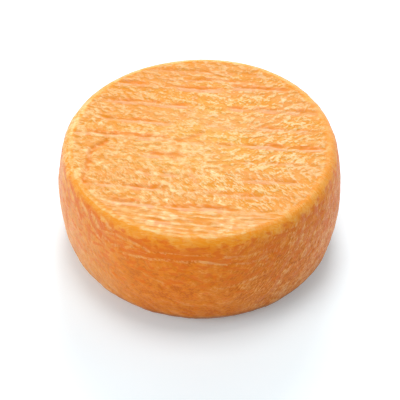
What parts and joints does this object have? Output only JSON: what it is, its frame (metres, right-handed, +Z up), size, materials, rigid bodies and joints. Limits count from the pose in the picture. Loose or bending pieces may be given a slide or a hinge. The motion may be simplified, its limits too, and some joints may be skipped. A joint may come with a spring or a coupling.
{
  "type": "cheese wheel",
  "caption": "Whole round washed-rind cheese with a bulging side, soft shoulder, flat base and a top face wrinkled and grooved by its ripening rack.",
  "frame": {"origin": "middle of the flat base, on the surface the cheese stands on", "axes": "+Z up through the wheel, -Y towards the picture's camera, +X to the picture's right"},
  "size_m": [0.1798, 0.1796, 0.0761],
  "materials": {
    "rind": "moist satin orange rind, wrinkled, a little translucent"
  },
  "bodies": {
    "root": {"cheese_wheel": "rind"}
  },
  "joints": []
}
